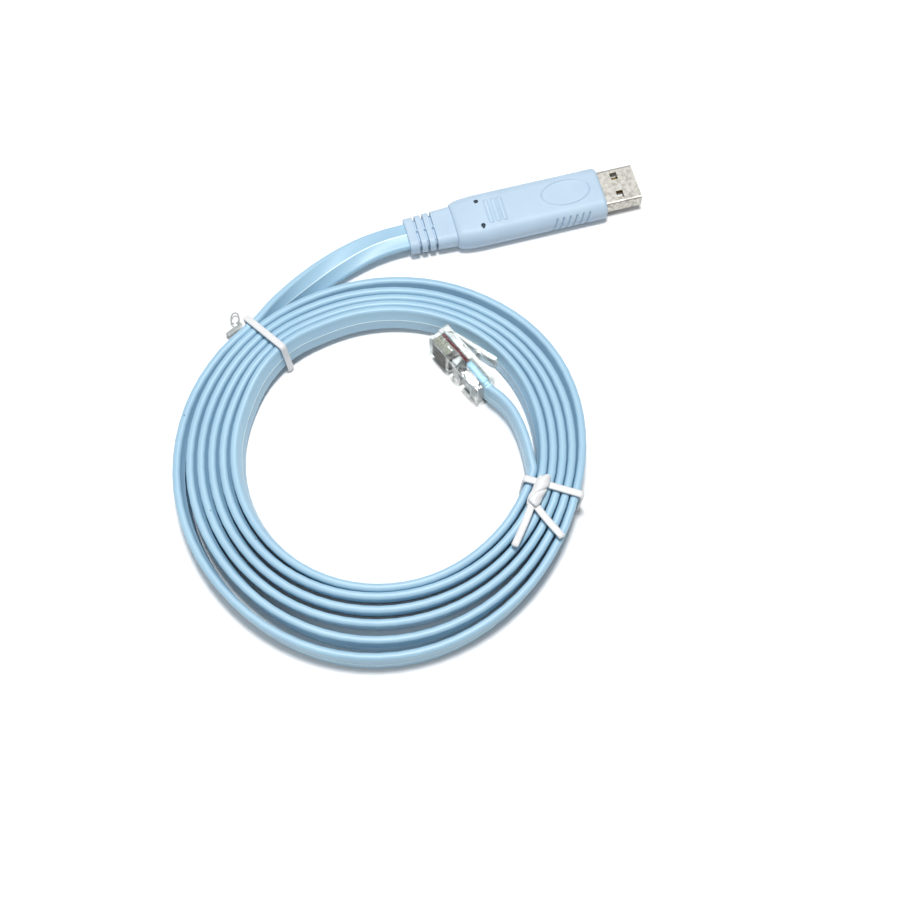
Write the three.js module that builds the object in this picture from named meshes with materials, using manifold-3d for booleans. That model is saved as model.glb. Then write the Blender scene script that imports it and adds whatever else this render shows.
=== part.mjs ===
// Console cable: a flat cable wound on its edge into a round coil and held by two wire ties,
// with a clear modular plug inside the coil and a moulded USB plug lying flat beside it.
// Millimetres, +Z up, the floor at z = 0. In the layout's own plan, +X is right and +Y is away.
import * as THREE from 'three';
import { mergeVertices } from 'three/addons/utils/BufferGeometryUtils.js';
import Module from 'manifold-3d';

const wasm = await Module();
wasm.setup();

// Clearances
const GAP = 0.3;
const TRIM_GAP = 0.1;
const CUT_OVER = 1;

// Layout: the point of the plan that the part's origin stands on
const PLAN_ORIGIN = [-3.9, 28.8];

// Flat cable
const CABLE_WIDTH = 8.4;
const CABLE_THICK = 2.2;
const CABLE_EDGE = 0.8;
const CABLE_EDGE_SIDE = 0.7;
const CABLE_EDGE_DROP = 0.25;

// Coil: the top edge of the cable runs on a spiral, clockwise from above. Its pitch drifts with
// the direction, so the turns lie closer together at the far side than at the near one
const COIL_CENTRE = [-17.3, -1.5];
const COIL_DRIFT = [-0.16, -0.45];
const COIL_START_RADIUS = 40.2;
const TURN_PITCH = 2.8;
const COIL_TURNS = 5;
const COIL_OVAL = 0.55;
const OUTER_SLACK = 1.3;
const TIE_SQUEEZE = 0.1;
const TIE_SPREAD = 25;
const COIL_LEAN = 11;
const COIL_LEAN_AT_RIGHT = 4;
const RING_CROWN = 0.6;
const RING_GROOVE = 1.3;
const RING_STEPS = 60;

// Where the wire ties hold the coil, as angles about its centre
const RIGHT_TIE_ANGLE = -17;
const LEFT_TIE_ANGLE = 139;
const LEAD_LEAVES_ANGLE = 134;

// Wire ties
const TIE_WIDTH = 2.2;
const TIE_THICK = 0.9;
const TIE_CORNER_STEPS = 4;
const KNOT_WIDTH = 4;
const KNOT_HEIGHT = 2.4;
const RIGHT_KNOT = [[24.6, -13.4], [21.6, -20.4]];
const RIGHT_TAIL_A = [[21.4, -19.6], [16.9, -32.6]];
const RIGHT_TAIL_B = [[21.8, -20], [29.8, -30]];
const LEFT_KNOT_LENGTH = 3.4;
const LEFT_TAIL_LENGTH = 5.6;
const LEFT_TAIL_TURN = 80;
const LEFT_LOOP = [5, 3.2];

// USB plug, lying flat: x runs from the cable to the shell, z up from the floor
const USB_EXIT = [-12.6, 66.6];
const USB_HEADING = 15;
const BODY_LENGTH = 45.4;
const BODY_WIDTH = 16;
const BODY_HEIGHT = 8;
const BODY_EDGE = 2.6;
const SHOULDER_LENGTH = 7;
const SHOULDER_PULL = SHOULDER_LENGTH / 3;
const FRONT_CORNER = 1.4;
const NECK_LENGTH = 14;
const NECK_WIDTH = 12;
const NECK_HEIGHT = 5.4;
const NECK_EDGE = 1.6;
const NECK_FLARE = 1.12;
const RIB_COUNT = 3;
const RIB_PITCH = 2.4;
const RIB_GROOVE = 0.8;
const RIB_GROOVE_DEPTH = 0.8;
const RIB_FIRST_GROOVE = 2.7;
const GRIP_COUNT = 6;
const GRIP_PITCH = 2;
const GRIP_LAST = 6.3;
const GRIP_WIDTH = 0.9;
const GRIP_DEPTH = 0.5;
const GRIP_HEIGHT = 5;
const GRIP_SLANT = 18;
const LIGHT_HOLE_RADIUS = 0.55;
const LIGHT_HOLE_DEPTH = 1.2;
const LIGHT_HOLE_FROM_SHOULDER = 8;
const LIGHT_HOLE_SPACING = 8.4;
const SHELL_WIDTH = 12;
const SHELL_HEIGHT = 4.5;
const SHELL_WALL = 0.3;
const SHELL_CORNER = 0.7;
const SHELL_SHOWN = 10.8;
const SHELL_SEATED = 3;
const WINDOW_LENGTH = 2.1;
const WINDOW_WIDTH = 2.4;
const WINDOW_SPACING = 6.4;
const WINDOW_FROM_FRONT = 6;
const TONGUE_THICK = 1.9;
const TONGUE_BACK_FROM_FRONT = 0.6;
const USB_CONTACTS = [-3.5, -1, 1, 3.5];
const USB_CONTACT_WIDTH = 1;
const USB_CONTACT_LENGTH = 8;
const USB_CONTACT_THICK = 0.3;

// Modular plug, standing on a narrow side: x runs from its rear to its nose,
// y is its width and z its thickness, from the contact side to the latch side
const MODULAR_REAR = [7.34, 12.37];
const MODULAR_HEADING = 128;
const MODULAR_LENGTH = 21.5;
const MODULAR_WIDTH = 11.7;
const MODULAR_THICK = 6.6;
const CABLE_DEPTH = 4.3;
const SHEATH_INSIDE = 9;
const WIRE_COUNT = 8;
const WIRE_PITCH = 1.02;
const WIRE_RADIUS = 0.42;
const WIRE_END_FROM_NOSE = 1.2;
const WIRE_SIDES = 8;
const BLADE_THICK = 0.35;
const BLADE_LENGTH = 6;
const BLADE_FROM_NOSE = 1;
const BLADE_SUNK = 0.4;
const CRIMP_LENGTH = 4.5;
const CRIMP_WIDTH = 7.5;
const CRIMP_FROM_REAR = 3;
const CRIMP_DEPTH = 1.5;
const LATCH_WIDTH = 6.2;
const LATCH_TIP_WIDTH = 4.6;
const LATCH_WIDE_LENGTH = 6;
const LATCH_THICK = 1.1;
const LATCH_LENGTH = 14;
const LATCH_RISE = 5;
const LATCH_ROOT = 1.6;

// The cable's route where it isn't coiled, as points of its middle line: [x, y, z]
const LEAD_POINTS = [
  [-50.3, 41.0, 5.0],
  [-45.6, 46.0, 4.5],
  [-39.3, 51.6, 4.2],
  [-32.2, 57.0, 4.2],
  [-24.6, 61.9, 4.1],
  [-18.6, 64.7, 4.0],
];
const TAIL_POINTS = [
  [14.1, 12.1, 5.8],
  [17.0, 8.4, 5.8],
  [19.3, 3.4, 5.8],
  [20.8, -1.6, 5.7],
  [21.7, -6.2, 5.6],
];
// Share of a turn over which the tail already follows the spiral before the coil starts
const TAIL_JOINS = 0.013;
// Shares of the lead's length between which it turns from the coil's lean to lying flat,
// and the number of turns that its whole length is worth
const LEAD_ROLL_FROM = 0.8;
const LEAD_ROLL_TO = 0.98;
const LEAD_TURNS = 0.77;
const LEAD_SPIRAL_POINTS = 24;
const LEAD_STEPS = 56;
const TAIL_LEAN_FROM = 0.4;
const TAIL_STEPS = 12;

const UP = new THREE.Vector3(0, 0, 1);
const radians = THREE.MathUtils.degToRad;

function paint(color, roughness, metalness) {
  return new THREE.MeshStandardMaterial({ color, roughness, metalness });
}

const MATERIALS = {
  cable: paint(0xa9cfe6, 0.45, 0),
  moulding: paint(0xb9cfe9, 0.6, 0),
  shell: paint(0xc9c7c0, 0.35, 1),
  gold: paint(0xd0a85a, 0.3, 1),
  tongue: paint(0xe6e6e2, 0.5, 0),
  clear: paint(0xd9e0dc, 0.15, 0),
  tie: paint(0xf4f4f2, 0.5, 0),
};
const WIRE_COLOURS = [0x4a4a4a, 0x9a5b3a, 0xd9c75a, 0x2f4f86, 0x3f7a4c, 0xb9b9b4, 0xd8a24a, 0x7c2f33];

// Closed meshes to solids and back
function toSolid(geometry) {
  const bare = geometry.clone();
  bare.deleteAttribute('normal');
  bare.deleteAttribute('uv');
  const merged = mergeVertices(bare, 1e-5);
  return new wasm.Manifold(new wasm.Mesh({
    numProp: 3,
    vertProperties: new Float32Array(merged.attributes.position.array),
    triVerts: new Uint32Array(merged.index.array),
  }));
}

function toGeometry(solid) {
  const mesh = solid.getMesh();
  const geometry = new THREE.BufferGeometry();
  geometry.setAttribute('position', new THREE.BufferAttribute(mesh.vertProperties, 3));
  geometry.setIndex(new THREE.BufferAttribute(mesh.triVerts, 1));
  geometry.computeVertexNormals();
  return geometry;
}

function named(name, geometry, material) {
  const mesh = new THREE.Mesh(geometry, material);
  mesh.name = name;
  return mesh;
}

// Sections and simple bodies
function roundedRectangle(width, height, radius, steps = 3) {
  const points = [];
  const corners = [[1, 1], [-1, 1], [-1, -1], [1, -1]];
  corners.forEach(([sx, sy], corner) => {
    const centre = new THREE.Vector2(sx * (width / 2 - radius), sy * (height / 2 - radius));
    for (let i = 0; i <= steps; i += 1) {
      const angle = ((corner + i / steps) * Math.PI) / 2;
      points.push(centre.clone().add(new THREE.Vector2(Math.cos(angle), Math.sin(angle)).multiplyScalar(radius)));
    }
  });
  return new THREE.Shape(points);
}

function prism(shape, length) {
  return new THREE.ExtrudeGeometry(shape, { depth: length, steps: 1, bevelEnabled: false, curveSegments: 6 });
}

// A section drawn in the YZ plane and run along X from the given start
function alongX(shape, from, length) {
  const axes = new THREE.Matrix4().makeBasis(
    new THREE.Vector3(0, 1, 0),
    new THREE.Vector3(0, 0, 1),
    new THREE.Vector3(1, 0, 0),
  );
  return prism(shape, length).applyMatrix4(axes).translate(from, 0, 0);
}

function box(low, high) {
  const size = high.map((value, i) => value - low[i]);
  const middle = high.map((value, i) => (value + low[i]) / 2);
  return new THREE.BoxGeometry(...size).translate(...middle);
}

// A section moved step by step along a place function of its own x and y and of t from 0 to 1
function sweep(shape, steps, place) {
  const geometry = new THREE.ExtrudeGeometry(shape, { depth: 1, steps, bevelEnabled: false });
  const position = geometry.attributes.position;
  for (let i = 0; i < position.count; i += 1) {
    const point = place(position.getX(i), position.getY(i), position.getZ(i));
    position.setXYZ(i, point.x, point.y, point.z);
  }
  geometry.computeVertexNormals();
  return geometry;
}

// The coil's spiral. Turns are counted from angle 0, clockwise
const angleToTurns = (angle) => (((-angle / 360) % 1) + 1) % 1;
const FIRST_TURN = angleToTurns(RIGHT_TIE_ANGLE);
const LEFT_TIE_TURN = angleToTurns(LEFT_TIE_ANGLE);
const MIDDLE_RADIUS = COIL_START_RADIUS + (COIL_TURNS / 2) * TURN_PITCH;

// 1 at the given angle, falling smoothly to 0 at the tie's spread on both sides
function nearAngle(angle, place) {
  const away = Math.abs(((angle - place + 540) % 360) - 180);
  return away < TIE_SPREAD ? Math.cos(((away / TIE_SPREAD) * Math.PI) / 2) ** 2 : 0;
}

// The outermost turn is slack between the two ties
function slack(turns) {
  const last = COIL_TURNS - 1 + LEFT_TIE_TURN;
  const tie = COIL_TURNS + FIRST_TURN;
  const end = COIL_TURNS + LEFT_TIE_TURN;
  if (turns <= last || turns >= end) return 0;
  const part = turns < tie ? (turns - last) / (tie - last) : (turns - tie) / (end - tie);
  return OUTER_SLACK * Math.sin(part * Math.PI) ** 2;
}

// The cable's middle, outward and width directions at a number of turns past the first one.
// Whole turns are taken out first, because the angle repeats with every turn
function coilFrame(past) {
  const whole = Math.floor(past);
  const part = past - whole;
  const angle = -360 * (FIRST_TURN + part);
  const turns = FIRST_TURN + part + whole;
  const radial = new THREE.Vector3(Math.cos(radians(angle)), Math.sin(radians(angle)), 0);
  const held = nearAngle(angle, RIGHT_TIE_ANGLE) + nearAngle(angle, LEFT_TIE_ANGLE);
  const pitch = TURN_PITCH + COIL_DRIFT[0] * radial.x + COIL_DRIFT[1] * radial.y;
  const free = COIL_START_RADIUS + turns * pitch + COIL_OVAL * Math.sin(radians(2 * angle));
  const radius = free + (MIDDLE_RADIUS - free) * TIE_SQUEEZE * held + slack(turns);
  const easing = nearAngle(angle, RIGHT_TIE_ANGLE);
  const lean = radians(COIL_LEAN + (COIL_LEAN_AT_RIGHT - COIL_LEAN) * easing);
  const outward = radial.clone().multiplyScalar(Math.cos(lean)).addScaledVector(UP, -Math.sin(lean));
  const width = radial.clone().multiplyScalar(Math.sin(lean)).addScaledVector(UP, Math.cos(lean));
  const middleRadius = radius - (CABLE_WIDTH / 2) * Math.sin(lean);
  const rest = (CABLE_WIDTH / 2) * Math.cos(lean) + RING_CROWN * Math.sin(lean);
  const middle = new THREE.Vector3(
    ...COIL_CENTRE,
    rest + (TIE_THICK + GAP) * Math.min(held, 1),
  ).addScaledVector(radial, middleRadius);
  return { middle, outward, width, radial, lean };
}

// Ring section: the turns side by side, with a groove between them on the top and the bottom
function ringShape() {
  const shape = new THREE.Shape();
  const half = CABLE_WIDTH / 2;
  const side = CABLE_THICK / 2;
  const outline = [];
  for (let turn = 0; turn < COIL_TURNS; turn += 1) {
    const x = turn * TURN_PITCH;
    if (turn > 0) outline.push([x - TURN_PITCH / 2, half - RING_GROOVE]);
    else outline.push([x - side, half - CABLE_EDGE]);
    outline.push([x - RING_CROWN, half], [x + RING_CROWN, half]);
  }
  outline.push([(COIL_TURNS - 1) * TURN_PITCH + side, half - CABLE_EDGE]);
  const below = outline.map(([x, y]) => [x, -y]);
  const around = [...below, ...outline.reverse()];
  shape.setFromPoints(around.map(([x, y]) => new THREE.Vector2(x, y)));
  return shape;
}

// A groove stays midway between its turns, so the gaps take up every change of pitch
function ringPoint(x, y, past) {
  const turn = Math.floor(x / TURN_PITCH + 0.5);
  const across = x - turn * TURN_PITCH;
  const frame = coilFrame(past + turn);
  if (Math.abs(across) <= CABLE_THICK / 2 + 1e-3) {
    return frame.middle.addScaledVector(frame.outward, across).addScaledVector(frame.width, y);
  }
  const next = coilFrame(past + turn + Math.sign(across));
  const midway = frame.middle.clone().add(next.middle).multiplyScalar(0.5);
  return midway.addScaledVector(frame.width, y);
}

// The ring's two ends stand face to face under the right tie, a clearance apart
function coilRing() {
  const slit = GAP / (2 * Math.PI * COIL_START_RADIUS);
  return sweep(ringShape(), RING_STEPS, (x, y, t) => ringPoint(x, y, slit + t * (1 - slit)));
}

// Flat cable along a curve. The roll turns the width from upright, 0, to lying flat, 90
function cableShape() {
  const half = CABLE_WIDTH / 2;
  const side = CABLE_THICK / 2;
  const corner = [side * CABLE_EDGE_SIDE, half - CABLE_EDGE * CABLE_EDGE_DROP];
  const top = [[side, half - CABLE_EDGE], corner, [0, half]];
  const mirrored = top.slice(0, 2).reverse().map(([x, y]) => [-x, y]);
  const upper = [...top, ...mirrored];
  const lower = upper.map(([x, y]) => [-x, -y]);
  return new THREE.Shape([...upper, ...lower].map(([x, y]) => new THREE.Vector2(x, y)));
}

function cableAlong(points, steps, roll) {
  const curve = new THREE.CatmullRomCurve3(points, false, 'centripetal');
  curve.arcLengthDivisions = 400;
  return sweep(cableShape(), steps, (x, y, t) => {
    const tangent = curve.getTangentAt(t);
    const left = UP.clone().cross(tangent).normalize();
    const over = tangent.clone().cross(left);
    const angle = radians(roll(t));
    const width = over.multiplyScalar(Math.cos(angle)).addScaledVector(left, Math.sin(angle));
    const outward = width.clone().cross(tangent);
    return curve.getPointAt(t).addScaledVector(outward, x).addScaledVector(width, y);
  });
}

const planDirection = (heading) => new THREE.Vector3(Math.cos(radians(heading)), Math.sin(radians(heading)), 0);

// The loose outermost stretch of the spiral and the lead to the USB plug
function cableLead() {
  const leaves = COIL_TURNS + angleToTurns(LEAD_LEAVES_ANGLE) - FIRST_TURN;
  const start = coilFrame(COIL_TURNS);
  const ahead = UP.clone().cross(start.radial).negate();
  const points = [start.middle.clone().addScaledVector(ahead, GAP)];
  for (let i = 1; i <= LEAD_SPIRAL_POINTS; i += 1) {
    points.push(coilFrame(COIL_TURNS + ((leaves - COIL_TURNS) * i) / LEAD_SPIRAL_POINTS).middle);
  }
  points.push(...LEAD_POINTS.map((point) => new THREE.Vector3(...point)));
  const heading = planDirection(USB_HEADING);
  points.push(new THREE.Vector3(...USB_EXIT, BODY_HEIGHT / 2).addScaledVector(heading, -GAP));
  return cableAlong(points, LEAD_STEPS, (t) => {
    const easing = nearAngle(RIGHT_TIE_ANGLE - t * LEAD_TURNS * 360, RIGHT_TIE_ANGLE);
    const lean = COIL_LEAN + (COIL_LEAN_AT_RIGHT - COIL_LEAN) * easing;
    return lean + (90 - lean) * THREE.MathUtils.smoothstep(t, LEAD_ROLL_FROM, LEAD_ROLL_TO);
  });
}

// From inside the modular plug to the start of the coil
function cableTail() {
  const nose = planDirection(MODULAR_HEADING);
  const latchWay = planDirection(MODULAR_HEADING - 90);
  const rear = new THREE.Vector3(...MODULAR_REAR, MODULAR_WIDTH / 2).addScaledVector(latchWay, CABLE_DEPTH);
  const end = coilFrame(0);
  const back = UP.clone().cross(end.radial);
  const points = [
    rear.clone().addScaledVector(nose, SHEATH_INSIDE),
    rear.clone().addScaledVector(nose, SHEATH_INSIDE / 2),
    rear,
    ...TAIL_POINTS.map((point) => new THREE.Vector3(...point)),
    coilFrame(-TAIL_JOINS).middle,
    end.middle.clone().addScaledVector(back, GAP),
  ];
  const leaned = (t) => THREE.MathUtils.smoothstep(t, TAIL_LEAN_FROM, 1);
  return cableAlong(points, TAIL_STEPS, (t) => COIL_LEAN_AT_RIGHT * leaned(t));
}

// Wire ties: a band round the coil's section, its twisted knot and its two tails
function looseLoop(corners, offset) {
  const points = [];
  corners.forEach((corner, i) => {
    const before = corners[(i + corners.length - 1) % corners.length];
    const after = corners[(i + 1) % corners.length];
    const outwardFrom = (a, b) => Math.atan2(-(b[0] - a[0]), b[1] - a[1]);
    const from = outwardFrom(before, corner);
    let to = outwardFrom(corner, after);
    if (to < from) to += 2 * Math.PI;
    for (let step = 0; step <= TIE_CORNER_STEPS; step += 1) {
      const angle = from + ((to - from) * step) / TIE_CORNER_STEPS;
      points.push(new THREE.Vector2(corner[0] + offset * Math.cos(angle), corner[1] + offset * Math.sin(angle)));
    }
  });
  return points;
}

// The corners of the bundle of turns where a tie holds it, as distance from the coil's centre and height
function bundleCorners(inner, outer) {
  const half = CABLE_WIDTH / 2;
  const side = CABLE_THICK / 2;
  const distance = (point) => Math.hypot(point.x - COIL_CENTRE[0], point.y - COIL_CENTRE[1]);
  const corner = (frame, x, y) => {
    const point = frame.middle.clone().addScaledVector(frame.outward, x).addScaledVector(frame.width, y);
    const crown = Math.sign(y) * (half * Math.cos(frame.lean) + RING_CROWN * Math.sin(frame.lean));
    return [distance(point), frame.middle.z + crown];
  };
  return [
    corner(inner, -side, -half),
    corner(outer, side, -half),
    corner(outer, side, half),
    corner(inner, -side, half),
  ];
}

function tieBand(inner, outer) {
  const corners = bundleCorners(inner, outer);
  const shape = new THREE.Shape(looseLoop(corners, GAP + TIE_THICK));
  shape.holes.push(new THREE.Path(looseLoop(corners, GAP)));
  const outwards = inner.middle.clone().setZ(0).sub(new THREE.Vector3(...COIL_CENTRE, 0)).normalize();
  const axes = new THREE.Matrix4().makeBasis(outwards, UP, outwards.clone().cross(UP));
  const geometry = prism(shape, TIE_WIDTH).translate(0, 0, -TIE_WIDTH / 2).applyMatrix4(axes);
  return { solid: toSolid(geometry.translate(...COIL_CENTRE, 0)), corners, outwards };
}

// A flat bar in the plan from one point to another
function bar(from, to, width, low, high) {
  const start = new THREE.Vector2(...from);
  const run = new THREE.Vector2(...to).sub(start);
  const geometry = box([0, -width / 2, low], [run.length(), width / 2, high]);
  return toSolid(geometry.rotateZ(run.angle()).translate(start.x, start.y, 0));
}

function rightTie() {
  const band = tieBand(coilFrame(0), coilFrame(COIL_TURNS));
  const top = band.corners[2][1];
  const low = top + TRIM_GAP;
  const knot = bar(...RIGHT_KNOT, KNOT_WIDTH, low, low + KNOT_HEIGHT);
  const tailA = bar(...RIGHT_TAIL_A, TIE_WIDTH, low, low + TIE_THICK);
  const tailB = bar(...RIGHT_TAIL_B, TIE_WIDTH, low, low + TIE_THICK);
  return toGeometry(band.solid.add(knot).add(tailA).add(tailB));
}

function leftTie() {
  const past = LEFT_TIE_TURN - FIRST_TURN;
  const band = tieBand(coilFrame(past), coilFrame(past + COIL_TURNS));
  const reach = band.corners[1][0] + GAP + TIE_THICK / 2;
  const at = (distance, aside) => [
    COIL_CENTRE[0] + distance * band.outwards.x - aside * band.outwards.y,
    COIL_CENTRE[1] + distance * band.outwards.y + aside * band.outwards.x,
  ];
  const knot = bar(at(reach, 0), at(reach + LEFT_KNOT_LENGTH, 0), TIE_WIDTH, 0, KNOT_HEIGHT);
  const knotEnd = reach + LEFT_KNOT_LENGTH - TIE_THICK;
  const turn = radians(LEFT_TAIL_TURN);
  const tailEnd = at(knotEnd + LEFT_TAIL_LENGTH * Math.cos(turn), LEFT_TAIL_LENGTH * Math.sin(turn));
  const tail = bar(at(knotEnd, 0), tailEnd, TIE_THICK, 0, TIE_WIDTH);
  const [loopLength, loopWidth] = LEFT_LOOP;
  const loopShape = roundedRectangle(loopLength, loopWidth, loopWidth / 2 - TRIM_GAP);
  const hole = roundedRectangle(loopLength - 2 * TIE_THICK, loopWidth - 2 * TIE_THICK, loopWidth / 2 - TIE_THICK - TRIM_GAP);
  loopShape.holes.push(new THREE.Path(hole.getPoints()));
  const loopGeometry = prism(loopShape, TIE_THICK);
  const loopMiddle = at(knotEnd + loopWidth / 2 - TRIM_GAP, -loopLength / 2 + TIE_THICK);
  const along = Math.atan2(band.outwards.x, -band.outwards.y);
  const loop = toSolid(loopGeometry.rotateZ(along).translate(...loopMiddle, 0));
  return toGeometry(band.solid.add(knot).add(tail).add(loop));
}

// USB plug
function bodyPlan() {
  const back = NECK_LENGTH;
  const front = NECK_LENGTH + BODY_LENGTH;
  const side = BODY_WIDTH / 2;
  const neck = (NECK_WIDTH * NECK_FLARE) / 2;
  const shape = new THREE.Shape();
  shape.moveTo(back, -neck);
  shape.quadraticCurveTo(back + SHOULDER_PULL, -side, back + SHOULDER_LENGTH, -side);
  shape.lineTo(front - FRONT_CORNER, -side);
  shape.absarc(front - FRONT_CORNER, -side + FRONT_CORNER, FRONT_CORNER, -Math.PI / 2, 0, false);
  shape.absarc(front - FRONT_CORNER, side - FRONT_CORNER, FRONT_CORNER, 0, Math.PI / 2, false);
  shape.lineTo(back + SHOULDER_LENGTH, side);
  shape.quadraticCurveTo(back + SHOULDER_PULL, side, back, neck);
  shape.closePath();
  return shape;
}

function neckSolid() {
  const shape = roundedRectangle(NECK_WIDTH, NECK_HEIGHT, NECK_EDGE);
  const length = NECK_LENGTH + SHOULDER_LENGTH;
  const geometry = alongX(shape, 0, length);
  const position = geometry.attributes.position;
  for (let i = 0; i < position.count; i += 1) {
    const flare = 1 + ((NECK_FLARE - 1) * position.getX(i)) / NECK_LENGTH;
    position.setXYZ(i, position.getX(i), position.getY(i) * flare, position.getZ(i) * flare);
  }
  let neck = toSolid(geometry);
  const coreWidth = NECK_WIDTH - 2 * RIB_GROOVE_DEPTH;
  const coreHeight = NECK_HEIGHT - 2 * RIB_GROOVE_DEPTH;
  const core = toSolid(alongX(roundedRectangle(coreWidth, coreHeight, NECK_EDGE - RIB_GROOVE_DEPTH / 2), 0, length));
  for (let i = 0; i < RIB_COUNT; i += 1) {
    const from = RIB_FIRST_GROOVE + i * RIB_PITCH;
    const slice = toSolid(box([from, -BODY_WIDTH, -BODY_HEIGHT], [from + RIB_GROOVE, BODY_WIDTH, BODY_HEIGHT]));
    neck = neck.subtract(slice.subtract(core));
  }
  return neck;
}

function gripCuts() {
  const cuts = [];
  const last = NECK_LENGTH + BODY_LENGTH - GRIP_LAST;
  for (const side of [-1, 1]) {
    for (let i = 0; i < GRIP_COUNT; i += 1) {
      const deep = GRIP_DEPTH + CUT_OVER;
      const geometry = new THREE.BoxGeometry(GRIP_WIDTH, deep, GRIP_HEIGHT).rotateY(radians(GRIP_SLANT));
      const y = side * (BODY_WIDTH / 2 - GRIP_DEPTH + deep / 2);
      cuts.push(toSolid(geometry.translate(last - i * GRIP_PITCH, y, 0)));
    }
  }
  return cuts;
}

function lightHoles() {
  const x = NECK_LENGTH + LIGHT_HOLE_FROM_SHOULDER;
  return [-1, 1].map((side) => toSolid(
    new THREE.CylinderGeometry(LIGHT_HOLE_RADIUS, LIGHT_HOLE_RADIUS, LIGHT_HOLE_DEPTH + CUT_OVER, 12)
      .rotateX(Math.PI / 2)
      .translate(x, (side * LIGHT_HOLE_SPACING) / 2, BODY_HEIGHT / 2 - LIGHT_HOLE_DEPTH / 2 + CUT_OVER / 2),
  ));
}

function usbOvermould() {
  const front = NECK_LENGTH + BODY_LENGTH;
  const section = roundedRectangle(BODY_WIDTH, BODY_HEIGHT, BODY_EDGE, 4);
  const run = toSolid(alongX(section, NECK_LENGTH - CUT_OVER, BODY_LENGTH + 2 * CUT_OVER));
  const plan = toSolid(prism(bodyPlan(), 2 * BODY_HEIGHT).translate(0, 0, -BODY_HEIGHT));
  let solid = run.intersect(plan).add(neckSolid());
  const seat = roundedRectangle(SHELL_WIDTH + 2 * GAP, SHELL_HEIGHT + 2 * GAP, SHELL_CORNER + GAP);
  const pocket = toSolid(alongX(seat, front - SHELL_SEATED - GAP, SHELL_SEATED + GAP + CUT_OVER));
  for (const cut of [pocket, ...gripCuts(), ...lightHoles()]) solid = solid.subtract(cut);
  return toGeometry(solid);
}

const SHELL_BACK = NECK_LENGTH + BODY_LENGTH - SHELL_SEATED;
const SHELL_FRONT = NECK_LENGTH + BODY_LENGTH + SHELL_SHOWN;
const TONGUE_LOW = -SHELL_HEIGHT / 2 + SHELL_WALL + TRIM_GAP;
const TONGUE_TOP = TONGUE_LOW + TONGUE_THICK;
const TONGUE_FRONT = SHELL_FRONT - TONGUE_BACK_FROM_FRONT;

function usbShell() {
  const outer = roundedRectangle(SHELL_WIDTH, SHELL_HEIGHT, SHELL_CORNER);
  const inner = roundedRectangle(SHELL_WIDTH - 2 * SHELL_WALL, SHELL_HEIGHT - 2 * SHELL_WALL, SHELL_CORNER - SHELL_WALL);
  const length = SHELL_FRONT - SHELL_BACK;
  let solid = toSolid(alongX(outer, SHELL_BACK, length));
  solid = solid.subtract(toSolid(alongX(inner, SHELL_BACK - CUT_OVER, length + 2 * CUT_OVER)));
  const middle = SHELL_FRONT - WINDOW_FROM_FRONT;
  for (const side of [-1, 1]) {
    const y = (side * WINDOW_SPACING) / 2;
    const low = [middle - WINDOW_LENGTH / 2, y - WINDOW_WIDTH / 2, -SHELL_HEIGHT];
    const high = [middle + WINDOW_LENGTH / 2, y + WINDOW_WIDTH / 2, SHELL_HEIGHT];
    solid = solid.subtract(toSolid(box(low, high)));
  }
  return toGeometry(solid);
}

function usbTongue() {
  const half = SHELL_WIDTH / 2 - SHELL_WALL - TRIM_GAP - SHELL_CORNER / 4;
  let solid = toSolid(box([SHELL_BACK, -half, TONGUE_LOW], [TONGUE_FRONT, half, TONGUE_TOP]));
  for (const y of USB_CONTACTS) {
    const reach = USB_CONTACT_WIDTH / 2 + TRIM_GAP;
    const back = TONGUE_FRONT - USB_CONTACT_LENGTH - 2 * TRIM_GAP;
    const low = [back, y - reach, TONGUE_TOP - USB_CONTACT_THICK];
    solid = solid.subtract(toSolid(box(low, [TONGUE_FRONT + CUT_OVER, y + reach, TONGUE_TOP + CUT_OVER])));
  }
  return toGeometry(solid);
}

function usbContact(y) {
  const low = TONGUE_TOP - USB_CONTACT_THICK + TRIM_GAP;
  const back = TONGUE_FRONT - USB_CONTACT_LENGTH - TRIM_GAP;
  const half = USB_CONTACT_WIDTH / 2;
  return box([back, y - half, low], [TONGUE_FRONT - TRIM_GAP, y + half, low + USB_CONTACT_THICK]);
}

function usbPlug() {
  const plug = new THREE.Group();
  plug.add(named('usb_overmould', usbOvermould(), MATERIALS.moulding));
  plug.add(named('usb_shell', usbShell(), MATERIALS.shell));
  plug.add(named('usb_tongue', usbTongue(), MATERIALS.tongue));
  USB_CONTACTS.forEach((y, i) => plug.add(named(`usb_contact_${i + 1}`, usbContact(y), MATERIALS.gold)));
  plug.position.set(...USB_EXIT, BODY_HEIGHT / 2);
  plug.rotation.z = radians(USB_HEADING);
  return plug;
}

// Modular plug
const wirePlace = (i) => (i - (WIRE_COUNT - 1) / 2) * WIRE_PITCH;
const BLADE_BACK = MODULAR_LENGTH - BLADE_FROM_NOSE - BLADE_LENGTH;
const BLADE_TOP = CABLE_DEPTH - WIRE_RADIUS - TRIM_GAP;

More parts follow.
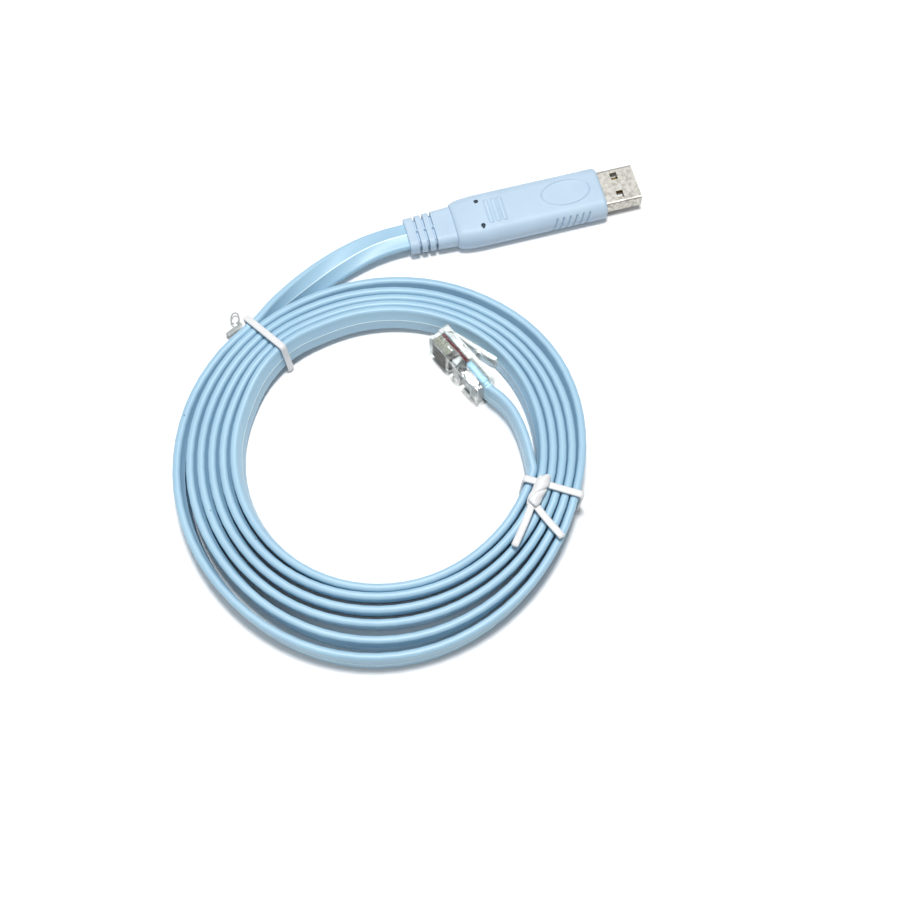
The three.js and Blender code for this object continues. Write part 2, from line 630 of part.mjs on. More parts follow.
function latchSolid() {
  const root = MODULAR_LENGTH - LATCH_ROOT;
  const tip = MODULAR_LENGTH - LATCH_LENGTH;
  const side = new THREE.Shape();
  side.moveTo(root, MODULAR_THICK - LATCH_THICK);
  side.lineTo(MODULAR_LENGTH, MODULAR_THICK - LATCH_THICK);
  side.lineTo(MODULAR_LENGTH, MODULAR_THICK);
  side.lineTo(root, MODULAR_THICK + LATCH_THICK);
  side.lineTo(tip, MODULAR_THICK + LATCH_RISE);
  side.lineTo(tip, MODULAR_THICK + LATCH_RISE - LATCH_THICK);
  side.closePath();
  const axes = new THREE.Matrix4().makeBasis(
    new THREE.Vector3(1, 0, 0),
    new THREE.Vector3(0, 0, 1),
    new THREE.Vector3(0, -1, 0),
  );
  const whole = toSolid(prism(side, LATCH_WIDTH).translate(0, 0, -LATCH_WIDTH / 2).applyMatrix4(axes));
  let latch = whole;
  for (const way of [-1, 1]) {
    const y = [(way * LATCH_TIP_WIDTH) / 2, way * LATCH_WIDTH].sort((a, b) => a - b);
    const low = [tip - CUT_OVER, y[0], MODULAR_THICK];
    const high = [root - LATCH_WIDE_LENGTH, y[1], MODULAR_THICK + 2 * LATCH_RISE];
    latch = latch.subtract(toSolid(box(low, high)));
  }
  return latch;
}

function modularHousing() {
  const half = MODULAR_WIDTH / 2;
  let solid = toSolid(box([0, -half, 0], [MODULAR_LENGTH, half, MODULAR_THICK])).add(latchSolid());
  const sheath = [CABLE_WIDTH / 2 + GAP, CABLE_THICK / 2 + GAP];
  const wires = [((WIRE_COUNT - 1) * WIRE_PITCH) / 2 + WIRE_RADIUS + TRIM_GAP, WIRE_RADIUS + TRIM_GAP];
  const wireEnd = MODULAR_LENGTH - WIRE_END_FROM_NOSE + GAP;
  const cuts = [
    box([-CUT_OVER, -sheath[0], CABLE_DEPTH - sheath[1]], [SHEATH_INSIDE + GAP, sheath[0], CABLE_DEPTH + sheath[1]]),
    box([SHEATH_INSIDE, -wires[0], CABLE_DEPTH - wires[1]], [wireEnd, wires[0], CABLE_DEPTH + wires[1]]),
    box(
      [CRIMP_FROM_REAR, -CRIMP_WIDTH / 2, -CUT_OVER],
      [CRIMP_FROM_REAR + CRIMP_LENGTH, CRIMP_WIDTH / 2, CRIMP_DEPTH],
    ),
  ];
  for (let i = 0; i < WIRE_COUNT; i += 1) {
    const reach = BLADE_THICK / 2 + TRIM_GAP;
    const low = [BLADE_BACK - TRIM_GAP, wirePlace(i) - reach, -CUT_OVER];
    cuts.push(box(low, [BLADE_BACK + BLADE_LENGTH + TRIM_GAP, wirePlace(i) + reach, CABLE_DEPTH]));
  }
  for (const cut of cuts) solid = solid.subtract(toSolid(cut));
  return toGeometry(solid);
}

function modularBlade(i) {
  const y = wirePlace(i);
  const half = BLADE_THICK / 2;
  return box([BLADE_BACK, y - half, BLADE_SUNK], [BLADE_BACK + BLADE_LENGTH, y + half, BLADE_TOP]);
}

function modularWire(i) {
  const from = SHEATH_INSIDE + GAP;
  const length = MODULAR_LENGTH - WIRE_END_FROM_NOSE - from;
  return new THREE.CylinderGeometry(WIRE_RADIUS, WIRE_RADIUS, length, WIRE_SIDES)
    .rotateZ(Math.PI / 2)
    .translate(from + length / 2, wirePlace(i), CABLE_DEPTH);
}

function modularPlug() {
  const plug = new THREE.Group();
  plug.add(named('rj45_housing', modularHousing(), MATERIALS.clear));
  for (let i = 0; i < WIRE_COUNT; i += 1) {
    plug.add(named(`rj45_contact_${i + 1}`, modularBlade(i), MATERIALS.gold));
    plug.add(named(`rj45_wire_${i + 1}`, modularWire(i), paint(WIRE_COLOURS[i % WIRE_COLOURS.length], 0.5, 0)));
  }
  plug.rotation.x = Math.PI / 2;
  const turned = new THREE.Group();
  turned.add(plug);
  turned.position.set(...MODULAR_REAR, MODULAR_WIDTH / 2);
  turned.rotation.z = radians(MODULAR_HEADING);
  return turned;
}

const group = new THREE.Group();
group.add(named('cable_coil', coilRing(), MATERIALS.cable));
group.add(named('cable_lead', cableLead(), MATERIALS.cable));
group.add(named('cable_tail', cableTail(), MATERIALS.cable));
group.add(named('twist_tie_left', leftTie(), MATERIALS.tie));
group.add(named('twist_tie_right', rightTie(), MATERIALS.tie));
group.add(usbPlug());
group.add(modularPlug());
group.position.set(-PLAN_ORIGIN[0], -PLAN_ORIGIN[1], 0);

export default group;
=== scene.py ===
# Console cable: the flat cable on its route, the moulded USB plug, the clear modular plug and
# the two wire ties, on a pale floor. Lengths here are millimetres in the part's plan, and they
# become metres in the row frame when a mesh is made
import math

import bmesh
import bpy
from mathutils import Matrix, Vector


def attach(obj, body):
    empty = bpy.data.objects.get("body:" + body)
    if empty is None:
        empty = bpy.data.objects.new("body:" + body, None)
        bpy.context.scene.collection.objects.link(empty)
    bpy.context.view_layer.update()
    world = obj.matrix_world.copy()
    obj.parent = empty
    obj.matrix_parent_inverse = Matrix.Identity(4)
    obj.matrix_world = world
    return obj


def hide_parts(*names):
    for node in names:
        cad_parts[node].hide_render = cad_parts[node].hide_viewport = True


MM = 0.001
UP = Vector((0, 0, 1))

# The plan's origin in the row frame
PLAN_SHIFT = Vector((3.9, -28.8, 0))

# Camera
CAMERA_TARGET = Vector((0, 0, 0))
CAMERA_ELEVATION = 66
CAMERA_DISTANCE = 420
CAMERA_LENS = 60.5
CAMERA_SENSOR = 36

# Flat cable
CABLE_WIDTH = 8.4
CABLE_THICK = 2.2
CABLE_EDGE = 0.95
CABLE_EDGE_STEPS = 6
SEAM_HALF_WIDTH = 0.17
SEAM_FOOT = 0.36
SEAM_HEIGHT = 0.12

# Coil
COIL_CENTRE = Vector((-17.3, -1.5, 0))
COIL_DRIFT = Vector((-0.16, -0.45, 0))
COIL_START_RADIUS = 40.2
TURN_PITCH = 2.8
COIL_TURNS = 5
COIL_OVAL = 0.55
OUTER_SLACK = 1.3
TIE_SQUEEZE = 0.1
TIE_SPREAD = 25
COIL_LEAN = 11
COIL_LEAN_AT_RIGHT = 4
RING_CROWN = 0.6
RIGHT_TIE_ANGLE = -17
LEFT_TIE_ANGLE = 139
LEFT_BAND_ANGLE = 136.6
LEAD_LEAVES_ANGLE = 134

# How the turns have moved against each other at the bottom of the coil
LOW_ANGLE = 272
LOW_REACH = 62
OUTER_DROP = 1.7
FOURTH_DROP = 1.5
INNER_DROP = 0.45
LOW_SPREAD = 0.42
LOW_TUCK = 0.85

# And elsewhere: amount, angle and reach to both sides
TOP_TUCK = (0.8, 95, 60)
RIGHT_SPREAD = (0.22, 28, 38)
FIRST_LIFT = (1.7, 108, 85)
SECOND_LIFT = (0.7, 105, 70)

# Route of the cable where it isn't coiled
LEAD_POINTS = [
    (-50.3, 41.0, 5.0),
    (-45.6, 46.0, 4.5),
    (-39.3, 51.6, 4.2),
    (-32.2, 57.0, 4.2),
    (-24.6, 61.9, 4.1),
    (-18.6, 64.7, 4.0),
]
TAIL_POINTS = [
    (14.1, 12.1, 5.8),
    (17.0, 8.4, 5.8),
    (19.3, 3.4, 5.8),
    (20.8, -1.6, 5.7),
    (21.7, -6.2, 5.6),
]
TAIL_JOINS = 0.013
LEAD_LENGTH = 292
LEAD_ROLL_FROM = 0.8
LEAD_ROLL_TO = 0.98
BEFORE_MOULDING = 0.3
INSIDE_MOULDING = 2
TURN_POINTS = 24
COIL_SAMPLES = 3
LOOSE_SAMPLES = 6

# USB plug: x from the cable to the shell, z up from the middle of its height
USB_EXIT = Vector((-12.6, 66.6, 4))
USB_HEADING = 15
NECK_LENGTH = 14
NECK_HALF = (5.55, 2.45)
NECK_FLARE = 1.12
NECK_EDGE = 2.1
NECK_FIRST_RINGS = [(4.9, 1.9, 1.2), (5.35, 2.25, 1.6)]
NECK_GROOVES = (2.7, 5.1, 7.5)
NECK_GROOVE_WIDTH = 0.55
NECK_GROOVE_DEPTH = 1.0
NECK_BRIDGE = (0.15, 0.4)
BODY_LENGTH = 45.4
BODY_HALF = (8.0, 4.0)
BODY_EDGE = 3.3
BODY_CROWN = 0.25
SHOULDER_LENGTH = 8.5
SHOULDER_STEP = 0.1
SHOULDER_BEND = 2.1
SHOULDER_TOP_BEND = 2.2
SHOULDER_TOP_SPEED = 2.4
FRONT_ROUND = 1.1
SHELL_HALF = (6.0, 2.25)
SHELL_CORNER = 0.7
SHELL_GAP = 0.2
SHELL_SEATED = 3
GRIP_LAST = 53.1
GRIP_PITCH = 2.0
GRIP_COUNT = 6
GRIP_DEPTH = 0.7
GRIP_SLANT = 18
GRIP_SIDES = (0.16, 0.42)
GRIP_ENDS = (2.1, 2.7)
LIGHT_HOLES = [(22.0, -4.2), (22.0, 4.2)]
LIGHT_HOLE_RADIUS = 0.55
LIGHT_HOLE_DEPTH = 1.2
LIGHT_HOLE_RIM = (0.75, 1.25)
SLOT_ROW = (24.7, 26.8, 28.7)
SLOT_HALF = (0.6, 4.0)
OVAL_CENTRE = (48.3, 0.5)
OVAL_HALF = (7.3, 4.2)
RELIEF_WIDTH = 0.17
RELIEF_HEIGHT = 0.3

# Points round a section of the moulding, and the steps between its sections
TOP_COLUMNS = 72
CORNER_COLUMNS = 8
SIDE_COLUMNS = 14
BOTTOM_COLUMNS = 10
NECK_STEP = 0.1
BODY_STEP = 0.15
FRONT_STEPS = 6

# Cups painted dark in the two small holes, as painted shade: radius and depth below the top, from
# the bottom round
CUP_OUTLINE = [(0.3, 0.75), (0.62, 0.55), (0.62, 0.12), (0.5, 0.12), (0.45, 0.5), (0.1, 0.6)]
CUP_STEPS = 16

# Modular plug: x from its rear to its nose, y up, z from the contact side to the latch side
MODULAR_REAR = Vector((7.34, 12.37, 5.85))
MODULAR_HEADING = 128
MODULAR_LENGTH = 21.5
MODULAR_HALF = 5.85
MODULAR_THICK = 6.6
CABLE_DEPTH = 4.3
SHEATH_INSIDE = 9
WIRE_COUNT = 8
WIRE_PITCH = 1.02
WIRE_COLOURS = [
    (0.30, 0.30, 0.28),
    (0.36, 0.27, 0.20),
    (0.62, 0.60, 0.45),
    (0.30, 0.36, 0.42),
    (0.33, 0.40, 0.33),
    (0.55, 0.56, 0.50),
    (0.62, 0.56, 0.42),
    (0.13, 0.018, 0.025),
]
WIRE_SHADE = 0.85
HOUSING_BEVEL = 0.16
CRIMP_BEVEL = 0.2

# Wire ties
TIE_WIDTH = 2.0
TIE_THICK = 0.9
TIE_GAP = 0.3
TIE_CLEAR = 0.02
STRIP_STEPS = 14
BAND_CORNER_STEPS = 8
BAND_SIDE_STEPS = 6

# Right tie: the knot's ends, and the tails as x, y and height over the knot
RIGHT_KNOT_RISE = 1.0
RIGHT_KNOT_ENDS = [(25.6, -12.9), (21.7, -21.0)]
RIGHT_TAILS = [
    [(22.2, -19.2, 0), (20.4, -24.4, -0.5), (16.9, -32.4, -0.9)],
    [(22.0, -20.0, -0.2), (25.2, -24.2, -0.8), (29.7, -29.8, -0.9)],
]

# Left tie: the knot outside the coil, its loop, and the tail as sideways and outward
LEFT_KNOT_HEIGHT = 1.6
LEFT_KNOT_LENGTH = 2.8
LEFT_LOOP_AWAY = 3.3
LEFT_LOOP_HALF = (1.15, 1.85)
LEFT_LOOP_NECK = 1.2
LEFT_LOOP_THICK = 0.2
LEFT_TAIL = [(2.2, 0.6), (5.4, 0.9)]
LEFT_TAIL_HALF = (0.8, 0.35)

# Faint marks on the coil's top: x, y and radius
MARKS = [(-72.9, 6.7, 0.4), (-63.9, -21.4, 0.36), (-51.5, -29.4, 0.36)]
MARK_HEIGHT = 8.4
MARK_FLATNESS = 0.2
MARK_COLOUR = (0.12, 0.16, 0.19)
MARK_STRENGTH = 0.7
MARK_CORE = 0.4

# Floor and light, in metres and watts
FLOOR_HALF = 3.0
FLOOR_LIGHT = (0.94, 0.94, 0.94)
FLOOR_DARK = (0.93, 0.93, 0.93)
WORLD_COLOUR = (0.93, 0.96, 1.0, 1)
WORLD_STRENGTH = 0.3
KEY_PLACE = (0.0, 0.07, 0.95)
KEY_SIZE = 0.22
KEY_POWER = 8.4
FILL_PLACE = (-0.5, -0.35, 0.8)
FILL_SIZE = 0.6
FILL_POWER = 0.9


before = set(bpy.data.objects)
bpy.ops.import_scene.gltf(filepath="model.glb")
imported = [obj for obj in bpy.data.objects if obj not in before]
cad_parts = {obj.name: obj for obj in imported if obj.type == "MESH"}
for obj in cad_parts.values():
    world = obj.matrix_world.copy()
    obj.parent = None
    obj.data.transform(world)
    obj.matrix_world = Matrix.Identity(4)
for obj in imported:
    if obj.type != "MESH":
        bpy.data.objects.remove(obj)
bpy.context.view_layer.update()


def to_frame(point):
    """A point of the plan in millimetres, as metres in the row frame."""
    return (Vector(point) + PLAN_SHIFT) * MM


def heading(degrees):
    return Vector((math.cos(math.radians(degrees)), math.sin(math.radians(degrees)), 0))


def smoothstep(value, start, end):
    part = min(max((value - start) / (end - start), 0), 1)
    return part * part * (3 - 2 * part)


# Camera, at the photograph's angle
def add_camera():
    data = bpy.data.cameras.new("camera")
    data.lens = CAMERA_LENS
    data.sensor_width = CAMERA_SENSOR
    camera = bpy.data.objects.new("camera", data)
    bpy.context.scene.collection.objects.link(camera)
    tilt = math.radians(CAMERA_ELEVATION)
    back = Vector((0, -math.cos(tilt), math.sin(tilt)))
    camera.location = to_frame(CAMERA_TARGET + back * CAMERA_DISTANCE)
    camera.rotation_mode = "QUATERNION"
    camera.rotation_quaternion = (-back).to_track_quat("-Z", "Y")
    bpy.context.scene.camera = camera


add_camera()


# Materials
def node_setup(name):
    material = bpy.data.materials.new(name)
    material.use_nodes = True
    nodes = material.node_tree.nodes
    return material, nodes, material.node_tree.links, nodes["Principled BSDF"]


def noise_node(nodes, links, scale, detail=3.0):
    place = nodes.new("ShaderNodeTexCoord")
    noise = nodes.new("ShaderNodeTexNoise")
    noise.inputs["Scale"].default_value = scale
    noise.inputs["Detail"].default_value = detail
    links.new(place.outputs["Object"], noise.inputs["Vector"])
    return noise


def spread(nodes, links, value, low, high, from_low=0.3, from_high=0.7):
    """A noise value stretched to run from low to high."""
    node = nodes.new("ShaderNodeMapRange")
    node.inputs["From Min"].default_value = from_low
    node.inputs["From Max"].default_value = from_high
    node.inputs["To Min"].default_value = low
    node.inputs["To Max"].default_value = high
    links.new(value, node.inputs["Value"])
    return node.outputs["Result"]


def two_tone(nodes, links, value, first, second):
    mix = nodes.new("ShaderNodeMix")
    mix.data_type = "RGBA"
    mix.inputs["A"].default_value = (*first, 1)
    mix.inputs["B"].default_value = (*second, 1)
    links.new(value, mix.inputs["Factor"])
    return mix.outputs["Result"]


def bump_from(nodes, links, shader, height, distance):
    bump = nodes.new("ShaderNodeBump")
    bump.inputs["Distance"].default_value = distance
    links.new(height, bump.inputs["Height"])
    links.new(bump.outputs["Normal"], shader.inputs["Normal"])


def plastic(name, light, dark, rough, patch, grain, depth, **sockets):
    """Moulded plastic: slow colour patches, a fine grain in its surface and uneven gloss."""
    material, nodes, links, shader = node_setup(name)
    patches = noise_node(nodes, links, patch)
    share = spread(nodes, links, patches.outputs["Fac"], 0, 1)
    links.new(two_tone(nodes, links, share, light, dark), shader.inputs["Base Color"])
    fine = noise_node(nodes, links, grain, 2.0)
    gloss = spread(nodes, links, fine.outputs["Fac"], *rough)
    links.new(gloss, shader.inputs["Roughness"])
    bump_from(nodes, links, shader, fine.outputs["Fac"], depth)
    for socket, value in sockets.items():
        shader.inputs[socket.replace("_", " ")].default_value = value
    return material


def marked(material, places, colour):
    """Small dark marks at points of the plan, over the material's own colour."""
    nodes, links = material.node_tree.nodes, material.node_tree.links
    base = nodes["Principled BSDF"].inputs["Base Color"]
    coords = nodes.new("ShaderNodeTexCoord")
    flat = nodes.new("ShaderNodeVectorMath")
    flat.operation = "MULTIPLY"
    flat.inputs[1].default_value = (1, 1, MARK_FLATNESS)
    links.new(coords.outputs["Object"], flat.inputs[0])
    plain = base.links[0].from_socket
    for x, y, radius in places:
        away = nodes.new("ShaderNodeVectorMath")
        away.operation = "DISTANCE"
        away.inputs[1].default_value = to_frame((x, y, MARK_HEIGHT * MARK_FLATNESS))
        links.new(flat.outputs["Vector"], away.inputs[0])
        rim = radius * MM
        share = spread(nodes, links, away.outputs["Value"], MARK_STRENGTH, 0, rim * MARK_CORE, rim)
        mix = nodes.new("ShaderNodeMix")
        mix.data_type = "RGBA"
        mix.inputs["B"].default_value = (*colour, 1)
        links.new(share, mix.inputs["Factor"])
        links.new(plain, mix.inputs["A"])
        plain = mix.outputs["Result"]
    links.new(plain, base)


def nickel():
    """Nickel plate with the cloudy mottling of a drawn shell."""
    material, nodes, links, shader = node_setup("shell_nickel")
    clouds = noise_node(nodes, links, 900, 6.0)
    share = spread(nodes, links, clouds.outputs["Fac"], 0, 1, 0.35, 0.65)
    plating = two_tone(nodes, links, share, (0.72, 0.70, 0.64), (0.42, 0.41, 0.37))
    links.new(plating, shader.inputs["Base Color"])
    links.new(spread(nodes, links, clouds.outputs["Fac"], 0.42, 0.62), shader.inputs["Roughness"])
    fine = noise_node(nodes, links, 4000, 3.0)
    bump_from(nodes, links, shader, fine.outputs["Fac"], 0.00002)
    shader.inputs["Metallic"].default_value = 1
    return material


def gold(name, light, dark):
    material, nodes, links, shader = node_setup(name)
    clouds = noise_node(nodes, links, 1500, 4.0)
    share = spread(nodes, links, clouds.outputs["Fac"], 0, 1)
    links.new(two_tone(nodes, links, share, light, dark), shader.inputs["Base Color"])
    links.new(spread(nodes, links, clouds.outputs["Fac"], 0.2, 0.4), shader.inputs["Roughness"])
    shader.inputs["Metallic"].default_value = 1
    return material


def clear_plastic(name, tint, alpha, rough, bend):
    """Clear polycarbonate: mostly see-through, with bright edges and a faint grey tint."""
    material, nodes, links, shader = node_setup(name)
    streaks = noise_node(nodes, links, 700, 3.0)
    links.new(spread(nodes, links, streaks.outputs["Fac"], *rough), shader.inputs["Roughness"])
    bump_from(nodes, links, shader, streaks.outputs["Fac"], 0.00004)
    shader.inputs["Base Color"].default_value = (*tint, 1)
    shader.inputs["Transmission Weight"].default_value = 1
    shader.inputs["IOR"].default_value = bend
    shader.inputs["Alpha"].default_value = alpha
    return material


# Each plastic: light and dark colour, roughness, scales of its patches and grain, bump in metres
CABLE_BLUE = plastic(
    "cable_jacket", (0.37, 0.58, 0.72), (0.33, 0.53, 0.68), (0.42, 0.54), 60, 2600, 0.00002,
    Coat_Weight=0.25, Coat_Roughness=0.36,
)
marked(CABLE_BLUE, MARKS, MARK_COLOUR)
# The seam's ridge is coloured near white, much lighter than the jacket: a painted highlight along
# the ridge.
SEAM_PAINTED_HIGHLIGHT = plastic(
    "cable_seam_painted_highlight", (0.8, 0.97, 1.0), (0.74, 0.93, 1.0), (0.25, 0.35), 60, 2600, 0.00001,
)
MOULDING_BLUE = plastic(
    "plug_moulding", (0.47, 0.60, 0.72), (0.43, 0.56, 0.69), (0.42, 0.6), 120, 3400, 0.00006,
)
TONGUE_WHITE = plastic(
    "tongue_white", (0.86, 0.86, 0.84), (0.78, 0.78, 0.76), (0.35, 0.5), 300, 3000, 0.00001,
)
TIE_WHITE = plastic(
    "tie_white", (0.78, 0.78, 0.78), (0.72, 0.72, 0.73), (0.3, 0.45), 260, 2400, 0.00003,
)
SHELL_NICKEL = nickel()
CONTACT_GOLD = gold("contact_gold", (0.78, 0.56, 0.22), (0.55, 0.38, 0.16))
BLADE_METAL = plastic(
    "blade_metal", (0.2, 0.2, 0.16), (0.1, 0.1, 0.085), (0.55, 0.7), 1400, 2400, 0.00003,
)
# White tie wire coloured grey for the left tie's loop and tail, which lie in shade: painted shade.
TIE_PAINTED_SHADE = plastic(
    "tie_painted_shade", (0.42, 0.44, 0.43), (0.3, 0.32, 0.31), (0.4, 0.55), 400, 2400, 0.00003,
)
# Near-black blue for the bottoms of the small holes: painted shade.
HOLE_PAINTED_SHADE = plastic(
    "hole_painted_shade", (0.02, 0.05, 0.07), (0.015, 0.035, 0.05), (0.5, 0.7), 400, 2400, 0.00003,
)
CLEAR = clear_plastic("clear_plastic", (0.70, 0.74, 0.73), 0.88, (0.02, 0.08), 1.45)
CRIMPED = plastic(
    "crimped_plastic", (0.72, 0.75, 0.75), (0.62, 0.65, 0.66), (0.2, 0.4), 500, 2200, 0.00008,
    Alpha=0.85,
)


# Meshes
def make_piece(name, points, faces, materials, face_materials=None):
    """A piece from plan points in millimetres, riding on the part."""
    mesh = bpy.data.meshes.new(name)
    mesh.from_pydata([to_frame(point) for point in points], [], faces)
    for material in materials:
        mesh.materials.append(material)
    if face_materials is not None:
        mesh.polygons.foreach_set("material_index", face_materials)
    mesh.polygons.foreach_set("use_smooth", [True] * len(mesh.polygons))
    mesh.update()
    piece = bpy.data.objects.new(name, mesh)
    bpy.context.scene.collection.objects.link(piece)
    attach(piece, "root")
    return piece


def loft(rings, closed=False):
    """Faces between rings of equal length, with flat ends unless the rings close on themselves."""
    count = len(rings[0])
    points = [point for ring in rings for point in ring]
    faces = []
    spans = len(rings) if closed else len(rings) - 1
    for i in range(spans):
        here = i * count
        there = ((i + 1) % len(rings)) * count
        for j in range(count):
            k = (j + 1) % count
            faces.append((here + j, here + k, there + k, there + j))
    if not closed:
        faces.append(tuple(reversed(range(count))))
        last = (len(rings) - 1) * count
        faces.append(tuple(range(last, last + count)))
    return points, faces


# Spiral of the coil. Turns are counted from angle 0, clockwise from above
def angle_to_turns(angle):
    return (-angle / 360) % 1


FIRST_TURN = angle_to_turns(RIGHT_TIE_ANGLE)
LEFT_TIE_TURN = angle_to_turns(LEFT_TIE_ANGLE)
MIDDLE_RADIUS = COIL_START_RADIUS + COIL_TURNS / 2 * TURN_PITCH


def near_angle(angle, place, reach=TIE_SPREAD):
    """1 at the place, falling smoothly to 0 at the reach on both sides."""
    away = abs((angle - place + 540) % 360 - 180)
    if away >= reach:
        return 0
    return math.cos(away / reach * math.pi / 2) ** 2


def settle(angle, whole):
    """Radial shift and lift of one turn against the others, at an angle."""
    turn = min(max(whole, 0), COIL_TURNS - 1)
    shift = -TOP_TUCK[0] * near_angle(angle, *TOP_TUCK[1:])
    shift += RIGHT_SPREAD[0] * turn * near_angle(angle, *RIGHT_SPREAD[1:])
    low = near_angle(angle, LOW_ANGLE, LOW_REACH)
    if whole >= COIL_TURNS:
        shift += OUTER_DROP * low
    elif whole <= 0:
        shift += INNER_DROP * low
    elif whole == COIL_TURNS - 1:
        shift += FOURTH_DROP * low
    else:
        shift += (LOW_SPREAD * turn - LOW_TUCK) * low
    lift = 0
    if whole == 0:
        lift = FIRST_LIFT[0] * near_angle(angle, *FIRST_LIFT[1:])
    elif whole == 1:
        lift = SECOND_LIFT[0] * near_angle(angle, *SECOND_LIFT[1:])
    return shift, lift


def slack(turns):
    """The outermost turn is loose between the two ties."""
    last = COIL_TURNS - 1 + LEFT_TIE_TURN
    tie = COIL_TURNS + FIRST_TURN
    end = COIL_TURNS + LEFT_TIE_TURN
    if turns <= last or turns >= end:
        return 0
    part = (turns - last) / (tie - last) if turns < tie else (turns - tie) / (end - tie)
    return OUTER_SLACK * math.sin(part * math.pi) ** 2


def coil_frame(past):
    """Middle, outward and width directions, and lean, at a number of turns past the first one."""
    whole = math.floor(past)
    part = past - whole
    angle = -360 * (FIRST_TURN + part)
    turns = FIRST_TURN + part + whole
    radial = heading(angle)
    held = near_angle(angle, RIGHT_TIE_ANGLE) + near_angle(angle, LEFT_TIE_ANGLE)
    pitch = TURN_PITCH + COIL_DRIFT.dot(radial)
    free = COIL_START_RADIUS + turns * pitch + COIL_OVAL * math.sin(math.radians(2 * angle))
    shift, raised = settle(angle, whole)
    radius = free + (MIDDLE_RADIUS - free) * TIE_SQUEEZE * held + slack(turns) + shift
    easing = near_angle(angle, RIGHT_TIE_ANGLE)
    upright = COIL_LEAN + (COIL_LEAN_AT_RIGHT - COIL_LEAN) * easing
    if whole >= COIL_TURNS - 1:
        upright -= COIL_LEAN * near_angle(angle, LOW_ANGLE, LOW_REACH)
    lean = math.radians(upright)
    outward = radial * math.cos(lean) - UP * math.sin(lean)
    width = radial * math.sin(lean) + UP * math.cos(lean)
    rest = CABLE_WIDTH / 2 * math.cos(lean) + RING_CROWN * math.sin(lean)
    lift = (TIE_THICK + TIE_GAP) * min(held, 1) + raised
    leaned = radius - CABLE_WIDTH / 2 * math.sin(lean)
    middle = COIL_CENTRE + UP * (rest + lift) + radial * leaned
    return {"middle": middle, "outward": outward, "width": width, "radial": radial, "lean": lean}


def spline(before, start, end, after, share):
    """A point of a centripetal Catmull-Rom curve between start and end."""
    knots = [0.0]
    for a, b in ((before, start), (start, end), (end, after)):
        knots.append(knots[-1] + max((b - a).length, 1e-6) ** 0.5)
    t = knots[1] + (knots[2] - knots[1]) * share

    def between(a, b, from_knot, to_knot):
        part = (t - from_knot) / (to_knot - from_knot)
        return a * (1 - part) + b * part

    first = between(before, start, knots[0], knots[1])
    second = between(start, end, knots[1], knots[2])
    third = between(end, after, knots[2], knots[3])
    left = between(first, second, knots[0], knots[2])
    right = between(second, third, knots[1], knots[3])
    return between(left, right, knots[1], knots[2])


# Route of the cable from inside the modular plug, round the coil and on to the USB plug
def route_controls():
    """Control points as (point, lean in degrees, samples up to the next one)."""
    nose = heading(MODULAR_HEADING)
    rear = MODULAR_REAR + heading(MODULAR_HEADING - 90) * CABLE_DEPTH
    controls = [
        (rear + nose * SHEATH_INSIDE, 0, 2),
        (rear + nose * SHEATH_INSIDE / 2, 0, 3),
        (rear, 0, LOOSE_SAMPLES),
    ]
    for i, point in enumerate(TAIL_POINTS):
        share = smoothstep((i + 1) / (len(TAIL_POINTS) + 1), 0.2, 1)
        controls.append((Vector(point), COIL_LEAN_AT_RIGHT * share, LOOSE_SAMPLES))
    controls.append((coil_frame(-TAIL_JOINS)["middle"], COIL_LEAN_AT_RIGHT, COIL_SAMPLES))
    leaves = COIL_TURNS + angle_to_turns(LEAD_LEAVES_ANGLE) - FIRST_TURN
    steps = round(leaves * TURN_POINTS)
    for i in range(1, steps + 1):
        place = coil_frame(leaves * i / steps)
        controls.append((place["middle"], math.degrees(place["lean"]), COIL_SAMPLES))
    for point in LEAD_POINTS:
        controls.append((Vector(point), COIL_LEAN, LOOSE_SAMPLES))
    toward = heading(USB_HEADING)
    controls.append((USB_EXIT - toward * BEFORE_MOULDING, COIL_LEAN, 3))
    controls.append((USB_EXIT + toward * INSIDE_MOULDING, COIL_LEAN, 1))
    return controls


def route_stations():
    """Points and leans close together along the whole route."""
    controls = route_controls()
    spots = [control[0] for control in controls]
    first = spots[0] * 2 - spots[1]
    last = spots[-1] * 2 - spots[-2]
    padded = [first, *spots, last]
    stations = []
    for i, (_, lean, samples) in enumerate(controls[:-1]):
        following = controls[i + 1][1]
        for j in range(samples):
            share = j / samples
            place = spline(*padded[i : i + 4], share)
            stations.append([place, lean + (following - lean) * share])
    stations.append([spots[-1], controls[-1][1]])
    return stations


def lay_flat(stations):
    """The lead turns from the coil's lean to lying flat before it enters the USB plug."""
    reach = [0.0]
    for before, after in zip(stations, stations[1:]):
        reach.append(reach[-1] + (after[0] - before[0]).length)
    lead_from = next(i for i, gone in enumerate(reach) if gone > reach[-1] - LEAD_LENGTH)
    for i in range(lead_from, len(stations)):
        share = (reach[i] - reach[lead_from]) / LEAD_LENGTH
        lean = stations[i][1]
        stations[i][1] = lean + (90 - lean) * smoothstep(share, LEAD_ROLL_FROM, LEAD_ROLL_TO)


def cable_section():
    """Rounded flat section with a low seam along the middle of both faces: (x, y)."""
    half = CABLE_WIDTH / 2
    side = CABLE_THICK / 2
    corners = []
    for sx, sy, start in ((1, 1, 0), (-1, 1, 90), (-1, -1, 180), (1, -1, 270)):
        arc = []
        for i in range(CABLE_EDGE_STEPS + 1):
            turn = math.radians(start + 90 * i / CABLE_EDGE_STEPS)
            x = sx * (side - CABLE_EDGE) + CABLE_EDGE * math.cos(turn)
            y = sy * (half - CABLE_EDGE) + CABLE_EDGE * math.sin(turn)
            arc.append((x, y))
        corners.append(arc)
    proud = side + SEAM_HEIGHT
    seam = [
        (side, SEAM_FOOT),
        (proud, SEAM_HALF_WIDTH),
        (proud, -SEAM_HALF_WIDTH),
        (side, -SEAM_FOOT),
    ]
    near = seam[::-1]
    far = [(-x, y) for x, y in seam]
    return [*near, *corners[0], *corners[1], *far, *corners[2], *corners[3]]


